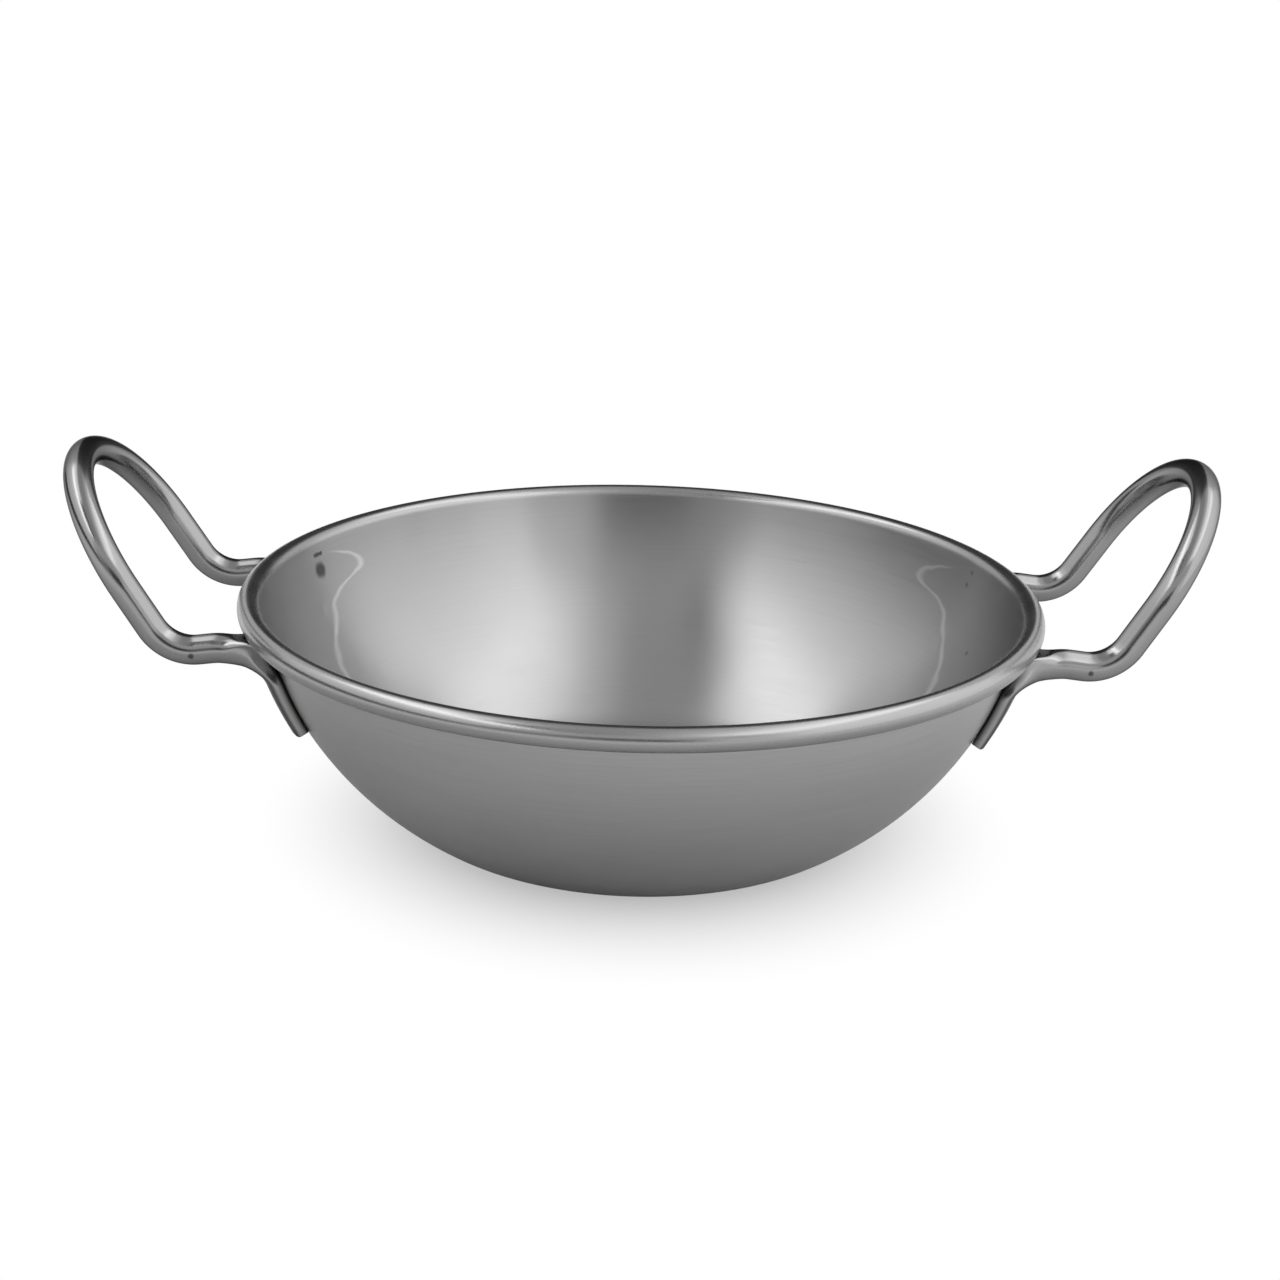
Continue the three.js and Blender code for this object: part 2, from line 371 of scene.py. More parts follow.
def spots_mask(tree, spots):
    """Mask of spots, given as place, radius and depth, that fade out at their ragged edges."""
    place = add_node(tree, "ShaderNodeTexCoord").outputs["Object"]
    ragged = add_node(
        tree, "ShaderNodeTexNoise", inputs={"Scale": 1 / (BITE_SIZE * MM)}, links={"Vector": place}
    )
    bite = Vector((BITE_REACH * MM,) * 3)
    shift = add_node(
        tree,
        "ShaderNodeVectorMath",
        {"operation": "MULTIPLY_ADD"},
        {1: bite},
        {0: ragged.outputs["Color"], 2: place},
    )
    start, end = SPOT_FADE
    mask = None
    for spot, radius, depth in spots:
        away = add_node(
            tree,
            "ShaderNodeVectorMath",
            {"operation": "DISTANCE"},
            {1: spot + bite / 2},
            {0: shift.outputs["Vector"]},
        )
        fade = add_node(
            tree,
            "ShaderNodeMapRange",
            SMOOTH,
            {"From Min": start * radius, "From Max": end * radius, "To Min": depth, "To Max": 0.0},
            {"Value": away.outputs["Value"]},
        )
        if mask is None:
            mask = fade.outputs["Result"]
        else:
            both = add_node(
                tree, "ShaderNodeMath", {"operation": "MAXIMUM"}, links={0: mask, 1: fade.outputs["Result"]}
            )
            mask = both.outputs[0]
    return mask


def tide_masks(tree):
    """Masks of a painted reflection of the handles, a pale line and its darker side, which fade out towards
    the base and the rim.
    """
    place = add_node(tree, "ShaderNodeTexCoord").outputs["Object"]
    folded = add_node(tree, "ShaderNodeVectorMath", {"operation": "ABSOLUTE"}, links={0: place})
    axes = add_node(tree, "ShaderNodeSeparateXYZ", links={"Vector": folded.outputs["Vector"]})
    low, high = TIDE_LINE[0][0] * MM, TIDE_LINE[-1][0] * MM
    climb = add_node(
        tree,
        "ShaderNodeMapRange",
        inputs={"From Min": low, "From Max": high},
        links={"Value": axes.outputs["Z"]},
    )
    edge = add_node(tree, "ShaderNodeFloatCurve", links={"Value": climb.outputs["Result"]})
    # The curve's full height stands for a quarter turn
    shares = [((rise * MM - low) / (high - low), math.radians(turn) / QUARTER) for rise, turn in TIDE_LINE]
    points = edge.mapping.curves[0].points
    for share in shares[1:-1]:
        points.new(*share)
    points[0].location = shares[0]
    points[len(points) - 1].location = shares[-1]
    edge.mapping.update()
    bearing = add_node(
        tree, "ShaderNodeMath", {"operation": "ARCTAN2"}, links={0: axes.outputs["Y"], 1: axes.outputs["X"]}
    )
    wobble = add_node(
        tree,
        "ShaderNodeTexNoise",
        inputs={"Scale": 1 / (TIDE_WOBBLE * MM), "Detail": 1.0},
        links={"Vector": place},
    )
    strayed = add_node(
        tree,
        "ShaderNodeMath",
        {"operation": "MULTIPLY_ADD"},
        {1: TIDE_STRAY},
        {0: wobble.outputs["Fac"], 2: bearing.outputs[0]},
    )
    past = add_node(
        tree,
        "ShaderNodeMath",
        {"operation": "MULTIPLY_ADD"},
        {1: -QUARTER},
        {0: edge.outputs["Value"], 2: strayed.outputs[0]},
    )
    away = add_node(tree, "ShaderNodeMath", {"operation": "ABSOLUTE"}, links={0: past.outputs[0]})
    masks = []
    for offset, start, end in ((away, 0.0, TIDE_HALF_WIDTH), (past, -TIDE_BLUR, TIDE_BLUR)):
        mask = add_node(
            tree,
            "ShaderNodeMapRange",
            SMOOTH,
            {"From Min": start, "From Max": end, "To Min": 1.0, "To Max": 0.0},
            {"Value": offset.outputs[0]},
        )
        shown = mask.outputs["Result"]
        for gone, full in ((low / 2, low), (high, high - TIDE_FADE * MM)):
            fade = add_node(
                tree,
                "ShaderNodeMapRange",
                SMOOTH,
                {"From Min": gone, "From Max": full},
                {"Value": axes.outputs["Z"]},
            )
            both = add_node(
                tree, "ShaderNodeMath", {"operation": "MULTIPLY"}, links={0: shown, 1: fade.outputs["Result"]}
            )
            shown = both.outputs[0]
        masks.append(shown)
    return masks


def shaded(base, share):
    """A colour made lighter or darker by a share."""
    return (*(min(channel * share, 1) for channel in base), 1)


def steel(name, base, roughness, wear, grain, settings, marks=None):
    """Bare stainless steel, a metal whose colour is all in its reflection.

    Wear is the size and height of the uneven patches. Grain is the strokes' function, height and contrast.
    Marks is a function that gives masks and the colours that go on there.
    """
    material, tree = new_material(name)
    place = add_node(tree, "ShaderNodeTexCoord").outputs["Object"]
    wear_size, wear_height = wear
    strokes, stroke_height, contrast = grain
    patches = add_node(
        tree, "ShaderNodeTexNoise", inputs={"Scale": 1 / wear_size}, links={"Vector": place}
    ).outputs["Fac"]
    lines = strokes(tree)
    tone = add_node(
        tree,
        "ShaderNodeMix",
        {"data_type": "RGBA"},
        {"A": shaded(base, 1 - contrast), "B": shaded(base, 1 + contrast)},
        {"Factor": lines},
    )
    surface = tone.outputs["Result"]
    both = add_node(tree, "ShaderNodeMath", {"operation": "ADD"}, links={0: patches, 1: lines})
    dull = add_node(
        tree,
        "ShaderNodeMapRange",
        inputs={
            "From Min": NOISE_SUM[0],
            "From Max": NOISE_SUM[1],
            "To Min": (1 - ROUGHNESS_SWING) * roughness,
            "To Max": (1 + ROUGHNESS_SWING) * roughness,
        },
        links={"Value": both.outputs[0]},
    )
    hollows = add_node(tree, "ShaderNodeMath", {"operation": "MULTIPLY"}, {1: wear_height}, {0: patches})
    relief = add_node(
        tree,
        "ShaderNodeMath",
        {"operation": "MULTIPLY_ADD"},
        {1: stroke_height},
        {0: lines, 2: hollows.outputs[0]},
    )
    bumps = add_node(
        tree, "ShaderNodeBump", inputs={"Strength": 1.0, "Distance": 1.0}, links={"Height": relief.outputs[0]}
    )
    for mask, stain in marks(tree) if marks else ():
        stained = add_node(
            tree, "ShaderNodeMix", {"data_type": "RGBA"}, {"B": stain}, {"Factor": mask, "A": surface}
        )
        surface = stained.outputs["Result"]
    shader = add_node(
        tree,
        "ShaderNodeBsdfPrincipled",
        inputs={"Metallic": 1.0, **settings},
        links={"Base Color": surface, "Roughness": dull.outputs["Result"], "Normal": bumps.outputs["Normal"]},
    )
    if "Anisotropic" in settings:
        tangent = add_node(tree, "ShaderNodeTangent", {"direction_type": "RADIAL", "axis": "Z"})
        tree.links.new(tangent.outputs["Tangent"], shader.inputs["Tangent"])
    add_node(tree, "ShaderNodeOutputMaterial", links={"Surface": shader.outputs["BSDF"]})
    return material


def slope_normal(slope):
    """Outward normal, as radius and height, of a wall of the given slope."""
    return Vector((math.sin(slope), -math.cos(slope)))


class Wall:
    """Profile of the bowl: a flat base, a corner arc and a wall arc that meets the rim at its own slope."""

    def __init__(self, sizes):
        self.sheet = sizes.sheet
        self.base = sizes.base / 2
        self.corner = sizes.corner
        self.bead = sizes.bead / 2
        self.rim_slope = sizes.rim_slope
        self.curl = sizes.curl
        self.bead_centre = Vector((sizes.rim / 2 - self.bead, sizes.height - self.bead))
        self.corner_centre = Vector((self.base, self.corner))
        normal = slope_normal(self.rim_slope)
        top = self.bead_centre + (self.sheet - self.bead) * normal
        reach = top - self.corner_centre
        self.radius = (reach.length_squared - self.corner ** 2) / (2 * (reach.dot(normal) - self.corner))
        self.centre = top - self.radius * normal
        self.blend = math.atan2(self.corner_centre.x - self.centre.x, self.centre.y - self.corner_centre.y)

    def point(self, slope, out=0.0):
        """Point of the wall where it has a given slope, moved out from the outer face."""
        if slope > self.blend:
            return self.centre + (self.radius + out) * slope_normal(slope)
        return self.corner_centre + (self.corner + out) * slope_normal(slope)

    def outline(self):
        """The section's points and finish, from the axis under the base, over the rim, to the axis inside."""
        top, blend = self.rim_slope - QUARTER, self.blend - QUARTER
        start = self.rim_slope + QUARTER
        end = start - self.curl
        inner = self.corner - self.sheet
        base_rings = 4
        base_radii = [self.base * i / base_rings for i in range(base_rings)]
        # The last number of each arc is its count of steps
        runs = [
            ("outside", [Vector((radius, 0)) for radius in base_radii]),
            ("outside", arc(self.corner_centre, self.corner, -QUARTER, blend, 12)),
            ("outside", arc(self.centre, self.radius, blend, top, 36)[1:]),
            ("rim", arc(self.bead_centre, self.bead - self.sheet, start, end, 24)[1:]),
            ("rim", arc(self.bead_centre, self.bead, end, start - BRUSHED_FLANK, 44)),
            ("inside", arc(self.bead_centre, self.bead, start - BRUSHED_FLANK, start, 6)[1:]),
            ("inside", arc(self.centre, self.radius - self.sheet, top, blend, 64)[1:]),
            ("inside", arc(self.corner_centre, inner, blend, -QUARTER, 12)[1:]),
            ("inside", [Vector((radius, self.sheet)) for radius in reversed(base_radii)]),
        ]
        return [(finish, point) for finish, points in runs for point in points]


def arc(centre, radius, start, end, count):
    """Points along a circular arc."""
    angles = [start + (end - start) * i / count for i in range(count + 1)]
    return [centre + radius * Vector((math.cos(a), math.sin(a))) for a in angles]


def around(profile, turn):
    """A point or direction of a profile, given as radius and height, turned about the axis."""
    return Vector((profile.x * math.cos(turn), profile.x * math.sin(turn), profile.y))


def even_turns(count):
    """Angles that are spread evenly round a full turn."""
    return [2 * math.pi * i / count for i in range(count)]


def tube_faces(rings, sides):
    """Faces of a tube through rings of points, with a flat cap at each end."""
    last = (rings - 1) * sides
    faces = [tuple(reversed(range(sides))), tuple(range(last, last + sides))]
    for here in range(0, last, sides):
        there = here + sides
        for k in range(sides):
            n = (k + 1) % sides
            faces.append((here + k, here + n, there + n, there + k))
    return faces


def revolved(outline, turns):
    """Points and faces of an outline that is turned about the dish's axis, and the finish of each face."""
    on_axis = 1e-9
    points, rows = [], []
    for _, spot in outline:
        stops = turns if spot.x > on_axis else [0.0]
        rows.append(range(len(points), len(points) + len(stops)))
        points += [around(spot, turn) for turn in stops]
    faces, finishes = [], []
    count = len(turns)
    for (finish, _), here, there in zip(outline[1:], rows, rows[1:]):
        for k in range(count):
            n = (k + 1) % count
            if len(here) == 1:
                faces.append((here[0], there[n], there[k]))
            elif len(there) == 1:
                faces.append((here[k], here[n], there[0]))
            else:
                faces.append((here[k], here[n], there[n], there[k]))
            finishes.append(finish)
    return points, faces, finishes


def new_piece(name, points, faces, materials, chosen=None):
    """A piece of the dish made from points and faces, shaded smooth, that rides on the dish's body."""
    mesh = bpy.data.meshes.new(name)
    mesh.from_pydata(points, [], faces)
    for material in materials:
        mesh.materials.append(material)
    mesh.polygons.foreach_set("use_smooth", [True] * len(faces))
    if chosen:
        mesh.polygons.foreach_set("material_index", chosen)
    mesh.set_sharp_from_angle(angle=SHARP_EDGE)
    if mesh.validate():
        raise RuntimeError(f"{name} has faulty faces")
    piece = bpy.data.objects.new(name, mesh)
    bpy.context.scene.collection.objects.link(piece)
    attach(piece, BODY)
    return piece


def round_angles(weld_turns):
    """Angles round the bowl, closer together where the welds are."""
    # Steps in degrees, and how far the fine ones go to either side of a weld
    coarse, fine, reach = 2.0, 0.4, 3.2
    angles = {round(coarse * i, 3) for i in range(int(360 / coarse))}
    for turn in weld_turns:
        centre = math.degrees(turn)
        count = int(reach / fine)
        angles |= {round((centre + fine * i) % 360, 3) for i in range(-count, count + 1)}
    kept = []
    for value in sorted(angles):
        if not kept or value - kept[-1] > fine / 2:
            kept.append(value)
    return [math.radians(value) for value in kept]


class Tab:
    """Seat of a handle's tab on the wall, in the handle's frame: x outwards, y along the rim, z up."""

    def __init__(self, wall, sizes):
        self.wall = wall
        self.side = sizes.spacing / 2
        self.out = sizes.seat + sizes.tab_thickness / 2
        self.heel = sizes.heel
        self.fall = sizes.fall
        reach = wall.bead_centre.x + wall.bead + sizes.overhang
        self.corner = Vector((reach, self.side, wall.bead_centre.y - sizes.drop))
        self.top = self.find_top()
        self.end = self.top - sizes.tab_length / wall.radius

    def at(self, slope):
        """Middle of the tab where the wall has a given slope, with its lean, twist, wrap and azimuth."""
        wall = self.wall.point(slope, self.out)
        azimuth = math.asin(self.side / wall.x)
        x = wall.x * math.cos(azimuth)
        lean = math.atan2(x * math.sin(slope), wall.x * math.cos(slope))
        twist = math.asin(math.sin(slope) * math.sin(azimuth))
        wrap = math.sin(slope) / (2 * wall.x)
        return Vector((x, self.side, wall.y)), lean, twist, wrap, azimuth

    def hug(self, point, press, sizes):
        """Extra curve across the pressed wire that brings its edges down onto the wall."""
        away = Vector((math.hypot(point.x, point.y), point.z)) - self.wall.centre
        half_width = lerp(sizes.wire, sizes.tab_width, press) / 2
        half_thickness = lerp(sizes.wire, sizes.tab_thickness, press) / 2
        gap = away.length - self.wall.radius - half_thickness
        return EDGE_CONTACT * min(EDGE_RATE * press, 1) * gap / half_width ** 2

    def heel_centre(self, slope):
        """Centre of the heel bend that starts from the tab at a given slope of the wall."""
        point, lean, *_ = self.at(slope)
        return point - self.heel * slope_up(lean)

    def find_top(self):
        """Slope of the wall at the tab's top, where the heel bend touches both the tab and the leg."""
        low, high = self.wall.blend, self.wall.rim_slope
        halvings = 50
        for _ in range(halvings):
            middle = (low + high) / 2
            gap = (self.corner - self.heel_centre(middle)).dot(slope_up(-self.fall))
            low, high = (middle, high) if gap > self.heel else (low, middle)
        return low

    def welds(self, sizes):
        """Slope and azimuth of the two welds of a tab."""
        rises = {"lower": sizes.weld_inset, "upper": sizes.weld_inset + sizes.weld_pitch}
        slopes = {row: self.end + rise / self.wall.radius for row, rise in rises.items()}
        return {row: (slope, self.at(slope)[4]) for row, slope in slopes.items()}


def slope_tangent(slope):
    """Direction of a run of wire with the given slope."""
    return Vector((math.cos(slope), 0, math.sin(slope)))


def slope_up(slope):
    """Upward normal of a run of wire with the given slope."""
    return Vector((-math.sin(slope), 0, math.cos(slope)))


def dish_settings():
    """Sizes of the bowl and handles, with the wall and the tab's seat worked out from them."""
    scene = bpy.context.scene
    wall = Wall(scene.balti_bowl)
    return scene.balti_bowl, scene.balti_handles, wall, Tab(wall, scene.balti_handles)


def handle_turns(sizes):
    """Turn of each handle about the dish's axis."""
    return {"right": sizes.right_turn, "left": math.pi}


def weld_places():
    """Name, slope and azimuth of every weld."""
    _, handles, _, tab = dish_settings()
    places = []
    for side, turn in handle_turns(handles).items():
        for end in (1, -1):
            place = "back" if end * math.cos(turn) > 0 else "front"
            for row, (slope, azimuth) in tab.welds(handles).items():
                places.append((f"{side}_{place}_{row}", slope, turn + end * azimuth))
    return places


def scorch_spots(wall):
    """Place, radius and depth of the spots that make up the heat marks inside the wall."""
    spots = []
    for slope, turn, radius, sweep, depth in SCORCHES:
        inner = wall.point(math.radians(slope), -wall.sheet)
        count = max(round(sweep / SCORCH_STEP), 1)
        for i in range(count):
            bearing = turn + sweep * ((i + 0.5) / count - 0.5)
            spots.append((around(inner, math.radians(bearing)), radius * MM, depth))
    return spots


class BALTI_OT_bowl(bpy.types.Operator):
    """Make the pressed bowl with its rolled rim"""

    bl_idname = "balti.bowl"
    bl_label = "Pressed bowl"

    def execute(self, context):
        sizes, _, wall, _ = dish_settings()
        finishes = context.scene.balti_finishes

        def marks(tree):
            line, patch = tide_masks(tree)
            return (
                # Painted reflection of the handles: a slightly darker side towards the handle, and a pale
                # line
                (patch, shaded(finishes.inside, TIDE_PATCH_TONE)),
                (line, shaded(finishes.inside, TIDE_LINE_TONE)),
                (spots_mask(tree, scorch_spots(wall)), shaded(finishes.scorch, 1)),
            )

        # The sheet's real brush strokes are about 0.1 mm wide: they are drawn wider, because those don't show
        materials = {
            # Stainless sheet, drawn and left satin: an even grey sheen with faint strokes along the rings
            "outside": steel(
                "stainless_sheet_satin",
                finishes.outside,
                roughness=0.36,
                wear=(28 * MM, 0.02 * MM),
                grain=(ring_strokes, 0.004 * MM, 0.1),
                settings={"Anisotropic": 0.5, "Anisotropic Rotation": ACROSS_RINGS},
            ),
            # The same sheet, burnished by the roll that turned the rim: a soft sheen in dark and bright bands
            "rim": steel(
                "stainless_rim_burnished",
                finishes.rim,
                roughness=0.27,
                wear=(9 * MM, 0.012 * MM),
                grain=(ring_strokes, 0.001 * MM, 0.05),
                settings={},
            ),
            # The same sheet, brushed on a turning head: highlights spread across the rings into fans. It has
            # the welds' heat marks, and a painted reflection of the handles: a pale line with a darker side
            # by each tab
            "inside": steel(
                "stainless_sheet_ring_brushed",
                finishes.inside,
                roughness=0.32,
                wear=(24 * MM, 0.01 * MM),
                grain=(ring_strokes, 0.003 * MM, 0.06),
                settings={"Anisotropic": 0.85, "Anisotropic Rotation": ACROSS_RINGS},
                marks=marks,
            ),
        }
        order = list(materials)
        welds = weld_places()
        points, faces, chosen = revolved(wall.outline(), round_angles([turn for _, _, turn in welds]))
        slots = [order.index(finish) for finish in chosen]
        piece = new_piece("pressed_bowl", points, faces, materials.values(), slots)
        press_dimples(piece, wall, welds, sizes)
        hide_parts("bowl")
        return {"FINISHED"}


def press_dimples(piece, wall, welds, sizes):
    """Presses the welds' shallow dimples into the inside of the wall."""
    spots = []
    for _, slope, turn in welds:
        inner = wall.point(slope, -wall.sheet)
        spots.append((around(inner, turn), around(slope_normal(slope), turn)))
    reach = sizes.dimple / 2
    for vertex in piece.data.vertices:
        for spot, outwards in spots:
            away = vertex.co - spot
            depth = away.dot(outwards)
            across = (away - depth * outwards).length
            if abs(depth) < wall.sheet / 2 and across < reach:
                vertex.co += outwards * sizes.dimple_depth * math.cos(QUARTER * across / reach) ** 2


def bend(corner, entry, leave, radius, count):
    """Points and tangents of a round bend between two straight runs, each with its share of the way round."""
    turn = entry.angle(leave)
    side = (leave - math.cos(turn) * entry).normalized()
    start = corner - entry * radius * math.tan(turn / 2)
    for i in range(count + 1):
        a = turn * i / count
        point = start + radius * (math.sin(a) * entry + (1 - math.cos(a)) * side)
        yield point, math.cos(a) * entry + math.sin(a) * side, i / count


def smoothstep(value, end):
    """Smooth rise from 0 at 0 to 1 at end."""
    share = min(max(value / end, 0), 1)
    return share * share * (3 - 2 * share)


def lerp(start, end, share):
    """Value part of the way from start to end."""
    return start + (end - start) * share


def cross_section(point, tangent, up, press=0.0, twist=0.0, wrap=0.0, trim=0.0):
    """One cross-section of the wire, from round to pressed flat, turned and curved to the wall."""
    across = up.cross(tangent).normalized()
    normal = tangent.cross(across)
    turn = Matrix.Rotation(twist, 3, tangent)
    return point, turn @ normal, turn @ across, press, wrap, trim


def half_handle(tab, sizes):
    """Cross-sections from the end of one tab to the crown of the loop."""
    sections = []
    radius = tab.wall.radius
    rises = []
    ends = 8
    for i in range(ends):
        a = QUARTER * i / ends
        rises.append((sizes.tab_end * (1 - math.cos(a)), sizes.tab_end * (1 - math.sin(a))))
    runs = 8
    rises += [(lerp(sizes.tab_end, sizes.tab_length, i / runs), 0.0) for i in range(runs)]
    for rise, trim in rises:
        point, lean, twist, wrap, _ = tab.at(tab.end + rise / radius)
        wrap += tab.hug(point, 1.0, sizes)
        sections.append(cross_section(point, slope_tangent(lean), slope_up(lean), 1.0, twist, wrap, trim))

    _, top_lean, top_twist, top_wrap, _ = tab.at(tab.top)
    heel = tab.heel_centre(tab.top)
    steps = 24
    for i in range(steps + 1):
        slope = lerp(top_lean, -sizes.fall, i / steps)
        press = 1 - smoothstep(i / steps, PRESSED_HEEL)
        point = heel + sizes.heel * slope_up(slope)
        wrap = top_wrap * press + tab.hug(point, press, sizes)
        twist = top_twist * press
        sections.append(cross_section(point, slope_tangent(slope), slope_up(slope), press, twist, wrap))

    loop = slope_tangent(sizes.lean)
    arm = math.cos(sizes.splay) * loop - math.sin(sizes.splay) * ALONG_RIM
    leg = slope_tangent(-sizes.fall)
    for point, tangent, share in bend(tab.corner, leg, arm, sizes.corner, count=20):
        sections.append(cross_section(point, tangent, slope_up(lerp(-sizes.fall, sizes.lean, share))))

    crown_side = tab.side - sizes.loop * math.tan(sizes.splay)
    crown = tab.corner + sizes.loop * loop
    crown.y = crown_side
    crown_radius = crown_side / math.tan(arm.angle(-ALONG_RIM) / 2)
    for point, tangent, _ in bend(crown, arm, -ALONG_RIM, crown_radius, count=32):
        sections.append(cross_section(point, tangent, slope_up(sizes.lean)))
    return sections


def mirrored(section):
    """The same cross-section on the other half of the handle."""
    point, normal, across, *pressing = section
    return FLIP @ point, FLIP @ normal, FLIP @ across, *pressing


def wire_ring(section, sizes):
    """Points round the wire: a circle that is pressed to a flat bar and curved to the wall."""
    point, normal, across, press, wrap, trim = section
    half_width = lerp(sizes.wire, sizes.tab_width, press) / 2 - trim
    half_thickness = lerp(sizes.wire, sizes.tab_thickness, press) / 2
    power = 2 / lerp(2, TAB_SQUARENESS, press)
    ring = []
    for a in even_turns(WIRE_SIDES):
        side = half_width * math.copysign(abs(math.cos(a)) ** power, math.cos(a))
        height = half_thickness * math.copysign(abs(math.sin(a)) ** power, math.sin(a))
        ring.append(point + side * across + (height + wrap * side ** 2) * normal)
    return ring


def leg_nicks(tab, sizes):
    """Places on the legs that the bending die has nicked, with their radius and depth."""
    back, low = 4.5 * MM, 0.3 * MM
    radius, depth = 0.55 * MM, 0.9
    middle = tab.corner - back * slope_tangent(-sizes.fall) - low * slope_up(-sizes.fall)
    nick = middle + ALONG_RIM * math.sqrt((sizes.wire / 2) ** 2 - low ** 2)
    turns = [Matrix.Rotation(turn, 3, UP) for turn in handle_turns(sizes).values()]
    return [(turn @ place, radius, depth) for turn in turns for place in (nick, FLIP @ nick)]


class BALTI_OT_handles(bpy.types.Operator):
    """Make the two bent wire handles"""

    bl_idname = "balti.handles"
    bl_label = "Wire handles"

    def execute(self, context):
        _, sizes, _, tab = dish_settings()
        finishes = context.scene.balti_finishes
        nicks = leg_nicks(tab, sizes)

        def marks(tree):
            # Painted shade on the sides of the tabs that face the wall, in the gap where they meet it
            heat = add_node(tree, "ShaderNodeAttribute", {"attribute_name": HEAT})
            return (
                (spots_mask(tree, nicks), shaded(finishes.scorch, 1)),
                (heat.outputs["Fac"], shaded(finishes.scorch, HEAT_TONE)),
            )

        # Stainless wire, drawn and tumbled bright: soft mirror streaks, uneven where it was bent, with faint
        # die lines. The real lines are about 0.1 mm wide: they are drawn wider, because those don't show
        wire = steel(
            "stainless_wire_tumbled",
            finishes.wire,
            roughness=0.2,
            wear=(8 * MM, 0.035 * MM),
            grain=(wire_strokes, 0.0, 0.08),
            settings={"Specular Tint": EDGE_TINT},
            marks=marks,
        )
        half = half_handle(tab, sizes)
        sections = half + [mirrored(section) for section in reversed(half[:-1])]
        points = [point for section in sections for point in wire_ring(section, sizes)]
        faces = tube_faces(len(sections), WIRE_SIDES)
        along, heat, length = [], [], 0.0
        last = sections[0][0]
        for middle, _, _, press, *_ in sections:
            length += (middle - last).length
            last = middle
            # Painted shade on the wire's wall side, where it is pressed flat into a tab
            flat = smoothstep(press - HEAT_PRESS[0], HEAT_PRESS[1])
            for a in even_turns(WIRE_SIDES):
                along += (sizes.wire / 2 * math.cos(a), sizes.wire / 2 * math.sin(a), length)
                heat.append(flat * smoothstep(math.sin(a) - HEAT_HEIGHT[0], HEAT_HEIGHT[1]))
        for side, turn in handle_turns(sizes).items():
            place = Matrix.Rotation(turn, 3, UP)
            piece = new_piece(f"wire_handle_{side}", [place @ point for point in points], faces, [wire])
            piece.data.attributes.new(ALONG_WIRE, "FLOAT_VECTOR", "POINT").data.foreach_set("vector", along)
            piece.data.attributes.new(HEAT, "FLOAT", "POINT").data.foreach_set("value", heat)
            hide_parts(f"handle_{side}")
        return {"FINISHED"}


class BALTI_OT_spot_welds(bpy.types.Operator):
    """Make the spot welds that bridge the gap between the tabs and the wall"""

    bl_idname = "balti.spot_welds"
    bl_label = "Spot welds"

    def execute(self, context):
        _, sizes, wall, _ = dish_settings()
        # Steel that melted and set between the tab and the wall: dull, pitted and darkened by the heat
        bare = steel(
            "steel_spot_weld_bare",
            context.scene.balti_finishes.weld,
            roughness=0.5,
            wear=(1.5 * MM, 0.02 * MM),
            grain=(pits, 0.02 * MM, 0.2),
            settings={},
        )
        bulge, steps = sizes.seat / 2, 5
        section = arc(Vector((sizes.weld / 2 - bulge, bulge)), bulge, -QUARTER, QUARTER, steps)
        faces = tube_faces(len(section), WELD_SIDES)
        for name, slope, turn in weld_places():
            place = around(wall.point(slope), turn)
            stand = around(slope_normal(slope), turn).to_track_quat("Z", "Y").to_matrix()
            points = [place + stand @ around(spot, a) for spot in section for a in even_turns(WELD_SIDES)]
            piece = new_piece(f"spot_weld_{name}", points, faces, [bare])
            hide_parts(f"weld_{name}")
        return {"FINISHED"}


# The dish's shadow on the floor, to the camera and in the steel: its middle and where it starts and ends to
# fade, in mm, and the share of white in it
CAMERA_SHADOW = (0, 30, 75, 0.4)
STEEL_SHADOW = (-40, 90, 280, 0.0)

# Half the floor's width, in metres
FLOOR_REACH = 40.0

# Height of the white band over the floor's far edge, as the sine of its angle
HORIZON_BAND = 0.05

# Watts per square metre that make a soft panel as bright as white
PANEL_WATTS = 4

# Numbers of the axes
X, Y, Z = range(3)

# Light tent of soft panels that face inwards: name, place in metres, axis that the panel faces along, width
# and depth in metres, and brightness
SOFTBOXES = (
    ("right_low", (0.9, -0.2, 0.18), X, 1.8, 0.24, 1.06),
    ("right", (0.9, -0.2, 0.7), X, 1.8, 0.8, 1.13),
    ("left", (-0.9, -0.2, 0.5), X, 1.8, 0.4, 0.79),
    ("left_high", (-0.9, -0.2, 0.9), X, 1.8, 0.4, 0.94),
    ("top_left", (-0.75, -0.2, 1.1), Z, 0.3, 1.8, 2.34),
    ("top_left_back", (-0.475, 0.25, 1.1), Z, 0.25, 0.9, 1.35),
    ("top_middle", (-0.115, -0.2, 1.1), Z, 0.47, 1.8, 0.37),
    ("top_right_inner", (0.235, -0.2, 1.1), Z, 0.23, 1.8, 0.65),
    ("top_right_middle", (0.475, -0.2, 1.1), Z, 0.25, 1.8, 1.36),
    ("top_right", (0.75, -0.2, 1.1), Z, 0.3, 1.8, 1.9),
    ("front_low_left", (-0.6, -1.1, 0.275), Y, 0.6, 0.35, 0.21),
    ("front_low_right", (0.6, -1.1, 0.275), Y, 0.6, 0.35, 0.8),
    ("front", (0, -1.1, 0.775), Y, 1.8, 0.65, 0.54),
    ("back_left", (-0.6, 0.7, 0.6), Y, 0.6, 1, 0.57),
    ("back_right", (0.6, 0.7, 0.6), Y, 0.6, 1, 0.62),
)


class BALTI_OT_stage(bpy.types.Operator):
    """Make the floor, the soft light and the camera"""

    bl_idname = "balti.stage"
    bl_label = "Stage"

    def execute(self, context):
        scene = context.scene
        studio = scene.balti_studio
        make_floor(scene.balti_finishes.floor)
        for box in SOFTBOXES:
            make_softbox(*box)
        make_room(studio.room)
        scene.camera = make_camera(studio)
        scene.view_settings.view_transform = "Standard"
        return {"FINISHED"}


